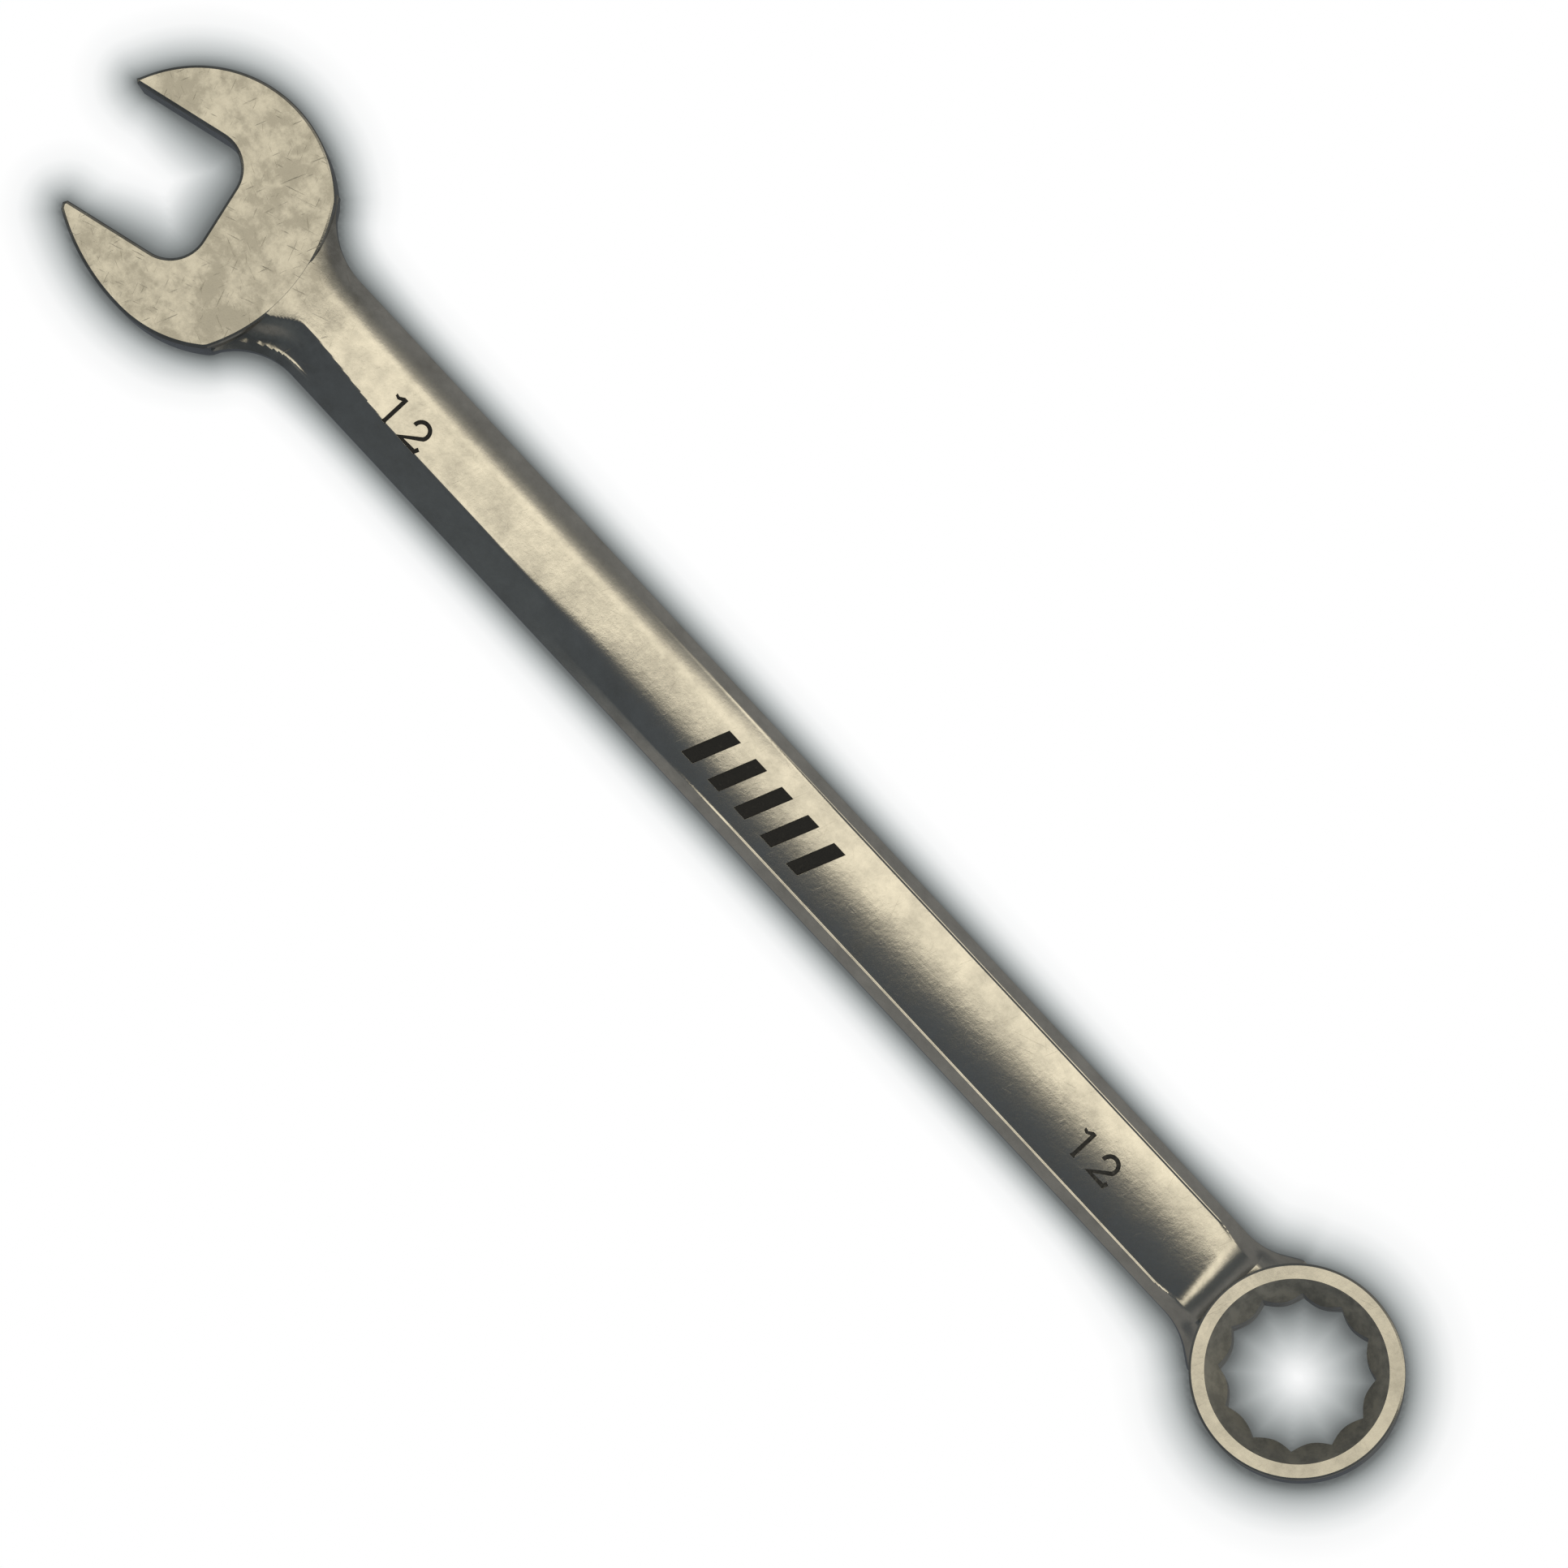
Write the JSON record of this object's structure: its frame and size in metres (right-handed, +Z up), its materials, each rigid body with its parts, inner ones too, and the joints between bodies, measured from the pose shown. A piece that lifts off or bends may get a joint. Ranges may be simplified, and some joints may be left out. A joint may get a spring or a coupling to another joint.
{
  "type": "combination wrench",
  "caption": "Flat drop-forged combination wrench with open jaws turned 15 degrees at one end and a tilted 12-point ring of the same size at the other.",
  "frame": {"origin": "on the surface the wrench lies on, under the middle of its bounding box", "axes": "+X along the shank from the open jaws to the ring, +Z up out of the marked face, +Y across"},
  "size_m": [0.1638, 0.0238, 0.0123],
  "materials": {
    "plated_steel": "satin nickel-chrome plating over forged steel, finely scratched, warm grey",
    "black_fill": "matt black enamel in shallow stamped recesses"
  },
  "bodies": {
    "root": {"wrench_forging": "plated_steel", "open_end_digit_1": "black_fill", "open_end_digit_2": "black_fill", "ring_end_digit_1": "black_fill", "ring_end_digit_2": "black_fill", "handle_mark_bar_1": "black_fill", "handle_mark_bar_2": "black_fill", "handle_mark_bar_3": "black_fill", "handle_mark_bar_4": "black_fill", "handle_mark_bar_5": "black_fill"}
  },
  "joints": []
}
